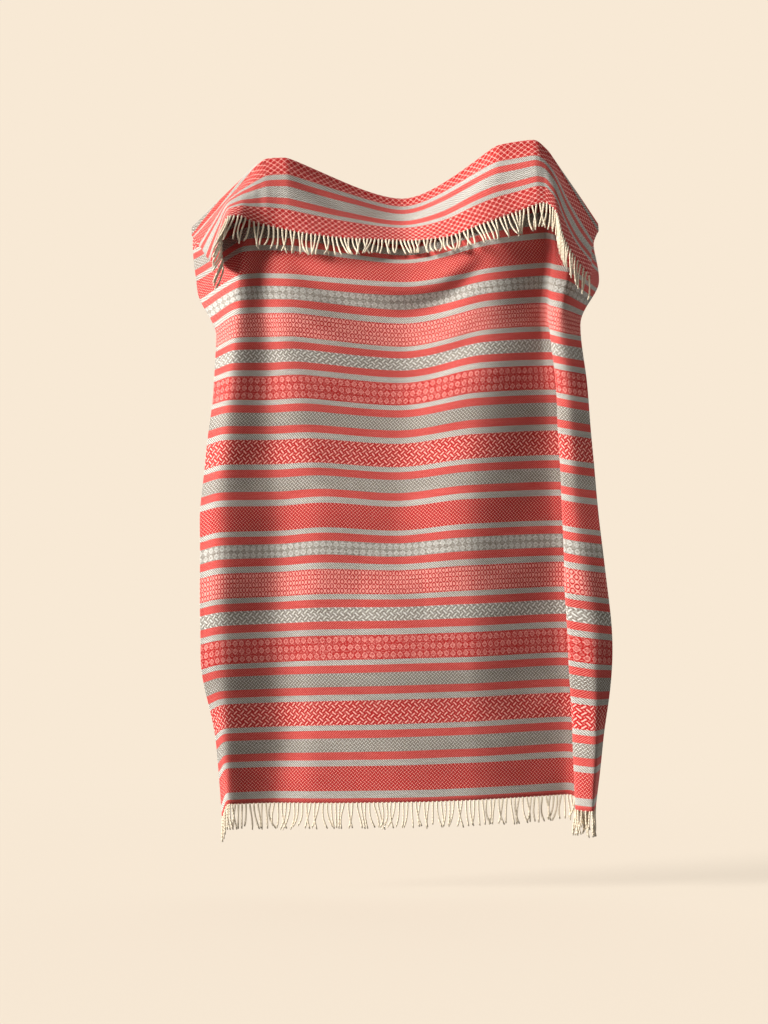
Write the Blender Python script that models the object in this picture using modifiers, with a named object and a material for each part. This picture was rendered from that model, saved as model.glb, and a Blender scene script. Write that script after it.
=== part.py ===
"""A wool throw blanket that hangs from two grips, with its top edge folded over to the front.

Metres, +X to the right as seen from the front, +Y away from the front, +Z up. The origin is on the
fold, at its lowest point between the two grips. The cloth is one sheet. Its place in the air is
worked out from two short tables: level sections across the hanging cloth, and the hem of the flap.
"""
import math
from typing import NamedTuple

import bmesh
import bpy
import numpy as np
from mathutils import Vector

NAME = "wool_throw_blanket"

# Woven size and the fringe.
WIDTH = 1.25
LENGTH = 2.00
THICKNESS = 0.0026
FRINGE_LENGTH = 0.066
STRAND_PITCH = 0.0107
STRAND_SIZE = 0.0042
TIP_SIZE = 0.0034
STRIP_DEPTH = 0.004
PIECE_GAP = 0.0003

# Where a strand narrows below the strip, how far strands sway, and how far they stand off a steep hem.
NECK_AT = 0.013
SWAY = 0.0012
SLOW_SWAY = 0.003
LEAST_LEAN = 0.75
LEAST_APART = 0.0055
EVEN_OVER = 6

# The mesh: cells between one guide and the next, and cells up the hanging part, fold and flap.
CELLS_ACROSS = (4, 4, 3, 6, 5, 5, 3, 3, 3, 4)
CELLS_UP = 34
CELLS_FOLD = 4
CELLS_FLAP = 8

RED_WOOL = (0.56, 0.075, 0.07)
CREAM_WOOL = (0.78, 0.70, 0.58)


class Guide(NamedTuple):
    """A fold or edge that runs down the whole cloth."""
    name: str
    at_hem: float        # distance from the left edge, measured along the bottom hem
    at_fold: float       # the same distance along the fold
    fold_up: float       # distance of the fold from the bottom hem, along the cloth
    fold_radius: float   # radius of the bend at the fold


GUIDES = (
    Guide("left_edge", 0.000, 0.000, 1.690, 0.026),
    Guide("left_ridge", 0.062, 0.221, 1.755, 0.013),
    Guide("left_valley", 0.200, 0.249, 1.762, 0.011),
    Guide("left_grip", 0.310, 0.293, 1.768, 0.011),
    Guide("middle", 0.530, 0.611, 1.790, 0.014),
    Guide("right_grip", 0.705, 0.901, 1.772, 0.011),
    Guide("right_valley", 0.980, 0.985, 1.765, 0.011),
    Guide("pleat_back", 1.055, 0.996, 1.764, 0.011),
    Guide("roll_edge", 1.130, 1.010, 1.762, 0.012),
    Guide("right_ridge", 1.188, 1.032, 1.758, 0.013),
    Guide("right_edge", WIDTH, WIDTH, 1.720, 0.024),
)
MIDDLE = 4


class Section(NamedTuple):
    """A line across the cloth at one distance up from the hem: its place at each guide."""
    name: str
    up: float
    x: tuple
    y: tuple
    z: tuple


SECTIONS = (
    Section("hem", 0.000,
            (-0.474, -0.452, -0.330, -0.222, 0.000, 0.175, 0.436, 0.490, 0.456, 0.497, 0.512),
            (-0.195, -0.235, -0.200, -0.216, -0.228, -0.224, -0.166, -0.174, -0.192, -0.214, -0.160),
            (-1.652, -1.612, -1.612, -1.611, -1.608, -1.603, -1.594, -1.628, -1.631, -1.634, -1.624)),
    Section("shin", 0.180,
            (-0.487, -0.458, -0.318, -0.215, 0.000, 0.175, 0.430, 0.490, 0.447, 0.502, 0.528),
            (-0.230, -0.255, -0.214, -0.232, -0.243, -0.236, -0.182, -0.190, -0.206, -0.228, -0.204),
            (-1.458, -1.436, -1.434, -1.431, -1.426, -1.420, -1.411, -1.432, -1.440, -1.446, -1.440)),
    Section("knee", 0.411,
            (-0.527, -0.470, -0.328, -0.215, -0.010, 0.170, 0.414, 0.490, 0.433, 0.494, 0.550),
            (-0.258, -0.275, -0.232, -0.252, -0.266, -0.264, -0.206, -0.214, -0.230, -0.247, -0.222),
            (-1.225, -1.212, -1.207, -1.202, -1.197, -1.192, -1.183, -1.188, -1.199, -1.210, -1.216)),
    Section("waist", 0.757,
            (-0.529, -0.468, -0.326, -0.200, -0.020, 0.165, 0.398, 0.478, 0.417, 0.450, 0.513),
            (-0.255, -0.285, -0.246, -0.268, -0.256, -0.285, -0.218, -0.228, -0.243, -0.259, -0.240),
            (-0.880, -0.866, -0.863, -0.854, -0.864, -0.845, -0.836, -0.839, -0.846, -0.854, -0.862)),
    Section("belly", 0.930,
            (-0.514, -0.456, -0.341, -0.236, -0.020, 0.180, 0.390, 0.470, 0.409, 0.440, 0.497),
            (-0.238, -0.282, -0.248, -0.263, -0.242, -0.280, -0.220, -0.230, -0.245, -0.260, -0.240),
            (-0.704, -0.691, -0.690, -0.686, -0.699, -0.676, -0.665, -0.667, -0.672, -0.679, -0.687)),
    Section("chest", 1.103,
            (-0.496, -0.442, -0.351, -0.268, -0.010, 0.200, 0.380, 0.450, 0.399, 0.428, 0.482),
            (-0.230, -0.275, -0.249, -0.262, -0.231, -0.279, -0.226, -0.236, -0.249, -0.263, -0.243),
            (-0.535, -0.524, -0.523, -0.519, -0.538, -0.504, -0.494, -0.496, -0.501, -0.509, -0.518)),
    Section("bust", 1.276,
            (-0.489, -0.428, -0.356, -0.294, 0.000, 0.222, 0.362, 0.378, 0.386, 0.412, 0.466),
            (-0.200, -0.268, -0.247, -0.256, -0.220, -0.266, -0.218, -0.222, -0.232, -0.246, -0.222),
            (-0.388, -0.362, -0.358, -0.358, -0.384, -0.341, -0.329, -0.331, -0.337, -0.346, -0.358)),
    Section("shoulder", 1.449,
            (-0.548, -0.418, -0.369, -0.290, 0.000, 0.230, 0.376, 0.390, 0.402, 0.437, 0.527),
            (-0.070, -0.245, -0.215, -0.235, -0.235, -0.265, -0.210, -0.213, -0.220, -0.215, -0.055),
            (-0.254, -0.196, -0.190, -0.193, -0.219, -0.180, -0.160, -0.162, -0.166, -0.172, -0.226)),
    Section("under_fold", 1.610,
            (-0.562, -0.403, -0.366, -0.302, 0.000, 0.228, 0.362, 0.375, 0.390, 0.412, 0.515),
            (-0.045, -0.165, -0.155, -0.160, -0.125, -0.185, -0.160, -0.158, -0.156, -0.150, -0.030),
            (-0.130, -0.048, -0.042, -0.044, -0.118, -0.028, -0.003, -0.005, -0.010, -0.022, -0.126)),
    Section("fold", LENGTH,
            (-0.563, -0.385, -0.360, -0.313, 0.000, 0.261, 0.348, 0.358, 0.371, 0.389, 0.525),
            (-0.050, -0.100, -0.095, -0.095, 0.000, -0.110, -0.110, -0.110, -0.108, -0.105, -0.045),
            (-0.082, 0.080, 0.096, 0.099, 0.000, 0.130, 0.143, 0.141, 0.132, 0.116, -0.071)),
)


class FlapHem(NamedTuple):
    """A point of the flap's hem."""
    across: float        # distance from the left edge, measured along the hem
    x: float
    y: float
    z: float
    belly: float         # how far the flap bulges to the front halfway down
    loose: float         # 0 where strands lie along the cloth behind, 1 where they hang plumb


FLAP_HEM = (
    FlapHem(0.000, -0.468, -0.270, -0.214, 0.000, 1.0),
    FlapHem(0.052, -0.471, -0.275, -0.165, -0.010, 1.0),
    FlapHem(0.099, -0.468, -0.275, -0.116, -0.015, 1.0),
    FlapHem(0.141, -0.453, -0.275, -0.076, -0.005, 1.0),
    FlapHem(0.174, -0.425, -0.265, -0.074, 0.000, 0.8),
    FlapHem(0.207, -0.396, -0.245, -0.086, 0.005, 0.5),
    FlapHem(0.263, -0.333, -0.222, -0.101, 0.004, 0.0),
    FlapHem(0.341, -0.255, -0.224, -0.117, 0.003, 0.0),
    FlapHem(0.446, -0.150, -0.214, -0.127, 0.004, 0.0),
    FlapHem(0.614, 0.000, -0.176, -0.131, 0.000, 0.0),
    FlapHem(0.726, 0.104, -0.224, -0.126, 0.006, 0.0),
    FlapHem(0.833, 0.206, -0.256, -0.096, 0.005, 0.0),
    FlapHem(0.936, 0.306, -0.232, -0.060, 0.004, 0.1),
    FlapHem(1.006, 0.372, -0.225, -0.037, 0.008, 0.5),
    FlapHem(1.052, 0.402, -0.240, -0.062, 0.010, 0.8),
    FlapHem(1.111, 0.414, -0.262, -0.116, 0.010, 1.0),
    FlapHem(1.176, 0.440, -0.268, -0.172, 0.010, 1.0),
    FlapHem(WIDTH, 0.491, -0.250, -0.236, 0.005, 1.0),
)


class Swag(NamedTuple):
    """A soft roll of slack that runs from grip to grip in a U."""
    name: str
    up_middle: float     # distance from the bottom hem at the middle
    up_grips: float      # the same distance under the grips
    width: float
    bulge: float         # to the front, or to the back if below nought


SWAGS = (
    Swag("roll", 1.400, 1.490, 0.034, 0.018),
    Swag("trough", 1.335, 1.440, 0.030, -0.012),
    Swag("low_roll", 1.210, 1.330, 0.050, 0.008),
    Swag("waist_roll", 0.985, 1.060, 0.060, 0.007),
    Swag("flap_trough", 1.655, 1.735, 0.022, -0.010),
)
SWAG_FULL = 0.35
SWAG_ENDS = 1.0


def steps(low, high, value):
    """Rise smoothly from 0 at low to 1 at high."""
    part = np.clip((value - low) / (high - low), 0.0, 1.0)
    return part * part * (3.0 - 2.0 * part)


def along(knots, values, places):
    """Read a smooth curve through values at knots, one that never overshoots a fold."""
    knots = np.asarray(knots, dtype=float)
    values = np.asarray(values, dtype=float)
    gaps = np.diff(knots)
    slopes = np.diff(values) / gaps
    tangents = np.zeros_like(values)
    before, after = slopes[:-1], slopes[1:]
    same_way = before * after > 0.0
    weight_a = 2.0 * gaps[1:] + gaps[:-1]
    weight_b = gaps[1:] + 2.0 * gaps[:-1]
    safe_before = np.where(same_way, before, 1.0)
    safe_after = np.where(same_way, after, 1.0)
    mean = (weight_a + weight_b) / (weight_a / safe_before + weight_b / safe_after)
    tangents[1:-1] = np.where(same_way, mean, 0.0)
    tangents[0], tangents[-1] = slopes[0], slopes[-1]
    places = np.clip(np.asarray(places, dtype=float), knots[0], knots[-1])
    cell = np.clip(np.searchsorted(knots, places, side="right") - 1, 0, len(gaps) - 1)
    part = (places - knots[cell]) / gaps[cell]
    rise = values[cell + 1] - values[cell]
    start = tangents[cell] * gaps[cell]
    end = tangents[cell + 1] * gaps[cell]
    return (values[cell] + part * start
            + part ** 2 * (3.0 * rise - 2.0 * start - end)
            + part ** 3 * (start + end - 2.0 * rise))


class Column:
    """One line down the cloth, from the bottom hem over the fold to the flap's hem."""

    def __init__(self, guide_place):
        marks = np.arange(len(GUIDES))
        self.place = guide_place
        self.at_hem = float(along(marks, [g.at_hem for g in GUIDES], guide_place))
        self.at_fold = float(along(marks, [g.at_fold for g in GUIDES], guide_place))
        self.radius = float(along(marks, [g.fold_radius for g in GUIDES], guide_place))
        self.fold_up = float(along(marks, [g.fold_up for g in GUIDES], guide_place))
        self.half_bend = self.radius * math.pi / 2.0
        self.top = self.fold_up - self.half_bend
        self.knots = [s.up for s in SECTIONS[:-1]] + [self.top]
        self.runs = [[float(along(marks, getattr(s, axis), guide_place)) for s in SECTIONS]
                     for axis in "xyz"]
        self.fold = Vector(run[-1] for run in self.runs)
        self.runs[1][-1] = self.fold.y + self.radius
        self.runs[2][-1] = self.fold.z - self.radius
        self.flap_length = LENGTH - self.fold_up - self.half_bend
        hem_marks = [row.across for row in FLAP_HEM]
        x, y, z, self.belly, self.loose = (
            float(along(hem_marks, [getattr(row, field) for row in FLAP_HEM], self.at_fold))
            for field in ("x", "y", "z", "belly", "loose"))
        self.front = Vector((0.0, -2.0 * self.radius, 0.0))
        behind = self.hanging(self.top - self.flap_length) + self.front
        self.shift = Vector((x, y, z)) - behind

    def slack(self, up):
        """The depth that the swags add at a distance up the cloth, down to nothing at the grips."""
        side = abs(self.place - MIDDLE)
        window = 1.0 - steps(SWAG_FULL, SWAG_ENDS, side)
        total = 0.0
        for swag in SWAGS:
            line = swag.up_middle + (swag.up_grips - swag.up_middle) * side ** 2
            total -= swag.bulge * math.exp(-((up - line) / swag.width) ** 2)
        return total * window

    def hanging(self, up):
        """A point of the part that hangs, at a distance up from the bottom hem."""
        point = Vector(float(along(self.knots, run, up)) for run in self.runs)
        point.y += self.slack(up) * float(1.0 - steps(self.top - 0.05, self.top, up))
        return point

    def bend(self, turn):
        """A point of the fold, from the back at 0 over the top to the front at pi."""
        return self.fold + Vector((0.0, self.radius * math.cos(turn),
                                   self.radius * (math.sin(turn) - 1.0)))

    def flap(self, down):
        """A point of the flap, at a distance down from the fold: it lies along the cloth behind."""
        part = down / self.flap_length
        point = self.hanging(self.top - down) + self.front + self.shift * part
        point.y -= self.belly * math.sin(math.pi * min(part, 1.0))
        return point

    def points(self):
        """All the points of this column, from the bottom hem to the flap's hem."""
        rise = [self.hanging(self.top * i / CELLS_UP) for i in range(CELLS_UP)]
        over = [self.bend(math.pi * i / CELLS_FOLD) for i in range(CELLS_FOLD)]
        fall = [self.flap(self.flap_length * i / CELLS_FLAP) for i in range(CELLS_FLAP + 1)]
        return rise + over + fall


def guide_places():
    """The place of each column among the guides, closer together where the folds are tight."""
    places = [0.0]
    for guide, cells in enumerate(CELLS_ACROSS):
        places += [guide + (cell + 1) / cells for cell in range(cells)]
    return places


def wool(name, colour):
    """A matt woollen material."""
    material = bpy.data.materials.new(name)
    material.use_nodes = True
    shader = material.node_tree.nodes["Principled BSDF"]
    shader.inputs["Base Color"].default_value = (*colour, 1.0)
    shader.inputs["Roughness"].default_value = 0.92
    shader.inputs["Metallic"].default_value = 0.0
    return material


def new_object(name, mesh_builder, material, collection):
    """Make an object from a bmesh and put it in the collection."""
    mesh = bpy.data.meshes.new(name)
    mesh_builder.to_mesh(mesh)
    mesh_builder.free()
    mesh.materials.append(material)
    piece = bpy.data.objects.new(name, mesh)
    collection.objects.link(piece)
    return piece


def make_blanket(columns, material, collection):
    """The woven sheet: one open surface with Solidify."""
    builder = bmesh.new()
    grid = [[builder.verts.new(point) for point in column.points()] for column in columns]
    for left, right in zip(grid, grid[1:]):
        for low in range(len(left) - 1):
            builder.faces.new((left[low], right[low], right[low + 1], left[low + 1]))
    piece = new_object("blanket", builder, material, collection)
    piece.data.shade_smooth()
    shell = piece.modifiers.new("cloth thickness", "SOLIDIFY")
    shell.thickness = THICKNESS
    shell.offset = 0.0
    return piece


class HemPoint(NamedTuple):
    """A point of a hem with the cloth's own directions there."""
    place: Vector
    outward: Vector      # in the cloth, past the hem
    face: Vector         # square to the cloth
    tip: Vector          # where a strand rooted here ends, before it sways


def hem_points(columns, sheet, at_flap):
    """The hem's points, one for each column, read from the sheet's own rows."""
    rows = [column.points() for column in columns]
    end, inner = (-1, -2) if at_flap else (0, 1)
    edge = [row[end] for row in rows]
    hems = []
    for number, column in enumerate(columns):
        place = edge[number]
        beside = (edge[min(number + 1, len(edge) - 1)] - edge[max(number - 1, 0)]).normalized()
        outward = place - rows[number][inner]
        outward = (outward - beside * outward.dot(beside)).normalized()
        normal_index = number * len(rows[number]) + (len(rows[number]) - 1 if at_flap else 0)
        face = sheet.data.vertices[normal_index].normal.copy()
        if at_flap:
            lying = column.flap(column.flap_length + FRINGE_LENGTH) - place
            fall = lying.lerp(Vector((0.0, 0.0, -FRINGE_LENGTH)), column.loose)
        else:
            fall = Vector((0.0, 0.0, -FRINGE_LENGTH))
        fall.normalize()
        fall += outward * max(0.0, LEAST_LEAN - fall.dot(outward))
        hems.append(HemPoint(place, outward, face, fall.normalized() * FRINGE_LENGTH))
    return hems


def stations(hems, spans):
    """Split each cell of the hem into strands of about the same pitch."""
    out = []
    for near, far, span in zip(hems, hems[1:], spans):
        count = max(1, round(span / STRAND_PITCH))
        for step in range(count):
            part = step / count
            out.append(HemPoint(*(a.lerp(b, part) for a, b in zip(near, far))))
    out.append(hems[-1])
    return out


def evened(falls):
    """Turn each strand to the mean direction of the strands about it, so that none cross."""
    out = []
    for number in range(len(falls)):
        about = falls[max(0, number - EVEN_OVER):number + EVEN_OVER + 1]
        out.append(sum(about, Vector()).normalized() * FRINGE_LENGTH)
    return out


def strand_falls(points):
    """Choose the cells of a fringe that carry a strand, none too near another, and how each falls."""
    falls = evened([near.tip.lerp(far.tip, 0.5) for near, far in zip(points, points[1:])])
    roots = []
    chosen = {}
    for number, fall in enumerate(falls):
        root = points[number].place.lerp(points[number + 1].place, 0.5)
        apart = [(root - other).cross(fall).length / FRINGE_LENGTH for other in roots]
        if min(apart, default=LEAST_APART) >= LEAST_APART:
            roots.append(root)
            chosen[number] = fall
    return chosen


def make_fringe(name, hems, spans, material, collection):
    """A narrow strip just past the hem, with a strand drawn out of the chosen lower faces."""
    builder = bmesh.new()
    half = THICKNESS / 2.0
    rings = []
    points = stations(hems, spans)
    chosen = strand_falls(points)
    for point in points:
        top = point.place + point.outward * PIECE_GAP
        low = top + point.outward * STRIP_DEPTH
        rings.append([builder.verts.new(p) for p in (top + point.face * half, top - point.face * half,
                                                     low - point.face * half, low + point.face * half)])
    lower_faces = []
    for number, (ring, following) in enumerate(zip(rings, rings[1:])):
        for side in range(4):
            turn = (side + 1) % 4
            quad = builder.faces.new((ring[side], ring[turn], following[turn], following[side]))
            if side == 2 and number in chosen:
                lower_faces.append(quad)
    builder.faces.new(rings[0][::-1])
    builder.faces.new(rings[-1])
    strands = bmesh.ops.extrude_discrete_faces(builder, faces=lower_faces)["faces"]
    for tip_face, (number, fall) in zip(strands, chosen.items()):
        near, far = points[number], points[number + 1]
        sway = SWAY * math.sin(2.4 * number) + SLOW_SWAY * math.sin(0.31 * number + 1.0)
        across = (far.place - near.place).normalized()
        face = near.face.lerp(far.face, 0.5).normalized()
        root = tip_face.calc_center_median()
        place_ring(tip_face, root + fall * (NECK_AT / FRINGE_LENGTH), across, face, STRAND_SIZE)
        longer = bmesh.ops.extrude_discrete_faces(builder, faces=[tip_face])["faces"][0]
        place_ring(longer, root + fall + across * sway, across, face, TIP_SIZE)
    bmesh.ops.recalc_face_normals(builder, faces=builder.faces)
    if builder.calc_volume(signed=True) < 0.0:
        bmesh.ops.reverse_faces(builder, faces=builder.faces)
    return new_object(name, builder, material, collection)


def place_ring(face, centre, across, normal, size):
    """Move the four corners of a strand's end to a square about a centre."""
    middle = face.calc_center_median()
    for vertex in face.verts:
        offset = vertex.co - middle
        side = math.copysign(size / 2.0, offset.dot(across))
        depth = math.copysign(size / 2.0, offset.dot(normal))
        vertex.co = centre + across * side + normal * depth


def clear_scene():
    """Remove whatever the file starts with."""
    for item in list(bpy.data.objects):
        bpy.data.objects.remove(item)


def main():
    """Build the blanket and its two fringes."""
    clear_scene()
    collection = bpy.data.collections.new(NAME)
    bpy.context.scene.collection.children.link(collection)
    columns = [Column(place) for place in guide_places()]
    cloth_wool = wool("striped_wool", RED_WOOL)
    fringe_wool = wool("cream_wool", CREAM_WOOL)
    sheet = make_blanket(columns, cloth_wool, collection)
    bottom_spans = np.diff([column.at_hem for column in columns])
    top_spans = np.diff([column.at_fold for column in columns])
    make_fringe("bottom_fringe", hem_points(columns, sheet, False), bottom_spans,
                fringe_wool, collection)
    make_fringe("top_fringe", hem_points(columns, sheet, True), top_spans,
                fringe_wool, collection)


main()
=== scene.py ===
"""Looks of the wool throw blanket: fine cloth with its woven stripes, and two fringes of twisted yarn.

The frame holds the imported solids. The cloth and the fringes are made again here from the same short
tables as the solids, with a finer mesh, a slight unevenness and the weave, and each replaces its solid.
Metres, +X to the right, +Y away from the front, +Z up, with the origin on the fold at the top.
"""
import logging
import math
from dataclasses import dataclass
from dataclasses import field
from enum import Enum
from typing import Any

import bpy
import numpy as np
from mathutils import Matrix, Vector


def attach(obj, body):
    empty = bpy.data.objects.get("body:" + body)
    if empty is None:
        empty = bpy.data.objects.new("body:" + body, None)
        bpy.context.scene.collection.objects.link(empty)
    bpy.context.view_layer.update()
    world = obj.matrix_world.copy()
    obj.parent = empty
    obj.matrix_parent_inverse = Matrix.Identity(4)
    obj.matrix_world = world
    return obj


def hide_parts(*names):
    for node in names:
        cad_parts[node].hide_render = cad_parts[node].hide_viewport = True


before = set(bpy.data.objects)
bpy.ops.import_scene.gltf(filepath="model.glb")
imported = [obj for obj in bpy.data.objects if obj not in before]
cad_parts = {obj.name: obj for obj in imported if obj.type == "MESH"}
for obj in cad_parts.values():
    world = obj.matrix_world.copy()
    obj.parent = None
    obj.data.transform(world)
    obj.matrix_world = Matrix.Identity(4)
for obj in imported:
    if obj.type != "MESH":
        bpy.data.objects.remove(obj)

LOG = logging.getLogger("blanket")
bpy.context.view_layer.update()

# Woven size, and the weave's driving dimensions.
WIDTH = 1.25
LENGTH = 2.00
THICKNESS = 0.0026
STRIPE_UNIT = LENGTH / 11.56
REPEAT = 0.0172

FULL_TURN = 2.0 * math.pi


@dataclass(frozen=True)
class Guide:
    """A fold or edge that runs down the whole cloth.

    Args:
        name: what the line is.
        at_hem: distance from the left edge, measured along the bottom hem.
        at_waist: the same distance at the waist section.
        at_chest: the same distance at the chest section.
        at_fold: the same distance along the fold.
        fold_up: distance of the fold from the bottom hem, along the cloth.
        fold_radius: radius of the bend at the fold.
    """
    name: str
    at_hem: float
    at_waist: float
    at_chest: float
    at_fold: float
    fold_up: float
    fold_radius: float


@dataclass(frozen=True)
class Section:
    """A line across the cloth at one distance up from the hem: its place at each guide."""
    name: str
    up: float
    x: tuple[float, ...]
    y: tuple[float, ...]
    z: tuple[float, ...]


@dataclass(frozen=True)
class FlapHem:
    """A point of the flap's hem, with the flap's bulge above it and how freely its strands hang."""
    across: float
    x: float
    y: float
    z: float
    belly: float
    loose: float


@dataclass(frozen=True)
class Swag:
    """A soft roll of slack that runs from grip to grip in a U."""
    name: str
    up_middle: float
    up_grips: float
    width: float
    bulge: float


@dataclass(frozen=True)
class Crease:
    """A soft trough or ridge between two places of the cloth, given across and up in metres."""
    name: str
    start: tuple[float, float]
    end: tuple[float, float]
    width: float
    lift: float


GUIDES = (
    Guide("left_edge", 0.000, 0.000, 0.000, 0.000, 1.690, 0.026),
    Guide("left_ridge", 0.062, 0.070, 0.071, 0.221, 1.755, 0.013),
    Guide("left_valley", 0.200, 0.223, 0.167, 0.249, 1.762, 0.011),
    Guide("left_grip", 0.310, 0.351, 0.252, 0.293, 1.768, 0.011),
    Guide("middle", 0.530, 0.531, 0.513, 0.611, 1.790, 0.014),
    Guide("right_grip", 0.705, 0.718, 0.731, 0.901, 1.772, 0.011),
    Guide("right_valley", 0.980, 0.968, 0.932, 0.985, 1.765, 0.011),
    Guide("pleat_back", 1.055, 1.060, 1.035, 0.996, 1.764, 0.011),
    Guide("roll_edge", 1.130, 1.128, 1.130, 1.010, 1.762, 0.012),
    Guide("right_ridge", 1.188, 1.174, 1.178, 1.032, 1.758, 0.013),
    Guide("right_edge", WIDTH, WIDTH, WIDTH, WIDTH, 1.720, 0.024),
)
MIDDLE = 4

SECTIONS = (
    Section("hem", 0.000,
            (-0.474, -0.452, -0.330, -0.222, 0.000, 0.175, 0.436, 0.490, 0.456, 0.497, 0.512),
            (-0.195, -0.235, -0.200, -0.216, -0.228, -0.224, -0.166, -0.174, -0.192, -0.214, -0.160),
            (-1.652, -1.612, -1.612, -1.611, -1.608, -1.603, -1.594, -1.628, -1.631, -1.634, -1.624)),
    Section("shin", 0.180,
            (-0.487, -0.458, -0.318, -0.215, 0.000, 0.175, 0.430, 0.490, 0.447, 0.502, 0.528),
            (-0.230, -0.255, -0.214, -0.232, -0.243, -0.236, -0.182, -0.190, -0.206, -0.228, -0.204),
            (-1.458, -1.436, -1.434, -1.431, -1.426, -1.420, -1.411, -1.432, -1.440, -1.446, -1.440)),
    Section("knee", 0.411,
            (-0.527, -0.470, -0.328, -0.215, -0.010, 0.170, 0.414, 0.490, 0.433, 0.494, 0.550),
            (-0.258, -0.275, -0.232, -0.252, -0.266, -0.264, -0.206, -0.214, -0.230, -0.247, -0.222),
            (-1.225, -1.212, -1.207, -1.202, -1.197, -1.192, -1.183, -1.188, -1.199, -1.210, -1.216)),
    Section("waist", 0.757,
            (-0.529, -0.468, -0.326, -0.200, -0.020, 0.165, 0.398, 0.478, 0.417, 0.450, 0.513),
            (-0.255, -0.285, -0.246, -0.268, -0.256, -0.285, -0.218, -0.228, -0.243, -0.259, -0.240),
            (-0.880, -0.866, -0.863, -0.854, -0.864, -0.845, -0.836, -0.839, -0.846, -0.854, -0.862)),
    Section("belly", 0.930,
            (-0.514, -0.456, -0.341, -0.236, -0.020, 0.180, 0.390, 0.470, 0.409, 0.440, 0.497),
            (-0.238, -0.282, -0.248, -0.263, -0.242, -0.280, -0.220, -0.230, -0.245, -0.260, -0.240),
            (-0.704, -0.691, -0.690, -0.686, -0.699, -0.676, -0.665, -0.667, -0.672, -0.679, -0.687)),
    Section("chest", 1.103,
            (-0.496, -0.442, -0.351, -0.268, -0.010, 0.200, 0.380, 0.450, 0.399, 0.428, 0.482),
            (-0.230, -0.275, -0.249, -0.262, -0.231, -0.279, -0.226, -0.236, -0.249, -0.263, -0.243),
            (-0.535, -0.524, -0.523, -0.519, -0.538, -0.504, -0.494, -0.496, -0.501, -0.509, -0.518)),
    Section("bust", 1.276,
            (-0.489, -0.428, -0.356, -0.294, 0.000, 0.222, 0.362, 0.378, 0.386, 0.412, 0.466),
            (-0.200, -0.268, -0.247, -0.256, -0.220, -0.266, -0.218, -0.222, -0.232, -0.246, -0.222),
            (-0.388, -0.362, -0.358, -0.358, -0.384, -0.341, -0.329, -0.331, -0.337, -0.346, -0.358)),
    Section("shoulder", 1.449,
            (-0.548, -0.418, -0.369, -0.290, 0.000, 0.230, 0.376, 0.390, 0.402, 0.437, 0.527),
            (-0.070, -0.245, -0.215, -0.235, -0.235, -0.265, -0.210, -0.213, -0.220, -0.215, -0.055),
            (-0.254, -0.196, -0.190, -0.193, -0.219, -0.180, -0.160, -0.162, -0.166, -0.172, -0.226)),
    Section("under_fold", 1.610,
            (-0.562, -0.403, -0.366, -0.302, 0.000, 0.228, 0.362, 0.375, 0.390, 0.412, 0.515),
            (-0.045, -0.165, -0.155, -0.160, -0.125, -0.185, -0.160, -0.158, -0.156, -0.150, -0.030),
            (-0.130, -0.048, -0.042, -0.044, -0.118, -0.028, -0.003, -0.005, -0.010, -0.022, -0.126)),
    Section("fold", LENGTH,
            (-0.563, -0.385, -0.360, -0.313, 0.000, 0.261, 0.348, 0.358, 0.371, 0.389, 0.525),
            (-0.050, -0.100, -0.095, -0.095, 0.000, -0.110, -0.110, -0.110, -0.108, -0.105, -0.045),
            (-0.082, 0.080, 0.096, 0.099, 0.000, 0.130, 0.143, 0.141, 0.132, 0.116, -0.071)),
)

FLAP_HEM = (
    FlapHem(0.000, -0.468, -0.270, -0.214, 0.000, 1.0),
    FlapHem(0.052, -0.471, -0.275, -0.165, -0.010, 1.0),
    FlapHem(0.099, -0.468, -0.275, -0.116, -0.015, 1.0),
    FlapHem(0.141, -0.453, -0.275, -0.076, -0.005, 1.0),
    FlapHem(0.174, -0.425, -0.265, -0.074, 0.000, 0.8),
    FlapHem(0.207, -0.396, -0.245, -0.086, 0.005, 0.5),
    FlapHem(0.263, -0.333, -0.222, -0.101, 0.004, 0.0),
    FlapHem(0.341, -0.255, -0.224, -0.117, 0.003, 0.0),
    FlapHem(0.446, -0.150, -0.214, -0.127, 0.004, 0.0),
    FlapHem(0.614, 0.000, -0.176, -0.131, 0.000, 0.0),
    FlapHem(0.726, 0.104, -0.224, -0.126, 0.006, 0.0),
    FlapHem(0.833, 0.206, -0.256, -0.096, 0.005, 0.0),
    FlapHem(0.936, 0.306, -0.232, -0.060, 0.004, 0.1),
    FlapHem(1.006, 0.372, -0.225, -0.037, 0.008, 0.5),
    FlapHem(1.052, 0.402, -0.240, -0.062, 0.010, 0.8),
    FlapHem(1.111, 0.414, -0.262, -0.116, 0.010, 1.0),
    FlapHem(1.176, 0.440, -0.268, -0.172, 0.010, 1.0),
    FlapHem(WIDTH, 0.491, -0.250, -0.236, 0.005, 1.0),
)

SWAGS = (
    Swag("roll", 1.400, 1.490, 0.034, 0.018),
    Swag("trough", 1.335, 1.440, 0.030, -0.012),
    Swag("low_roll", 1.210, 1.330, 0.050, 0.008),
    Swag("waist_roll", 0.985, 1.060, 0.060, 0.007),
    Swag("flap_trough", 1.655, 1.735, 0.022, -0.010),
)
SWAG_FULL = 0.35
SWAG_ENDS = 1.0
FOLD_EASE = 0.05

CREASES: tuple[Crease, ...] = ()


def steps(low: float, high: float, value: Any) -> Any:
    """Rise smoothly from 0 at low to 1 at high."""
    part = np.clip((value - low) / (high - low), 0.0, 1.0)
    return part * part * (3.0 - 2.0 * part)


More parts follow.
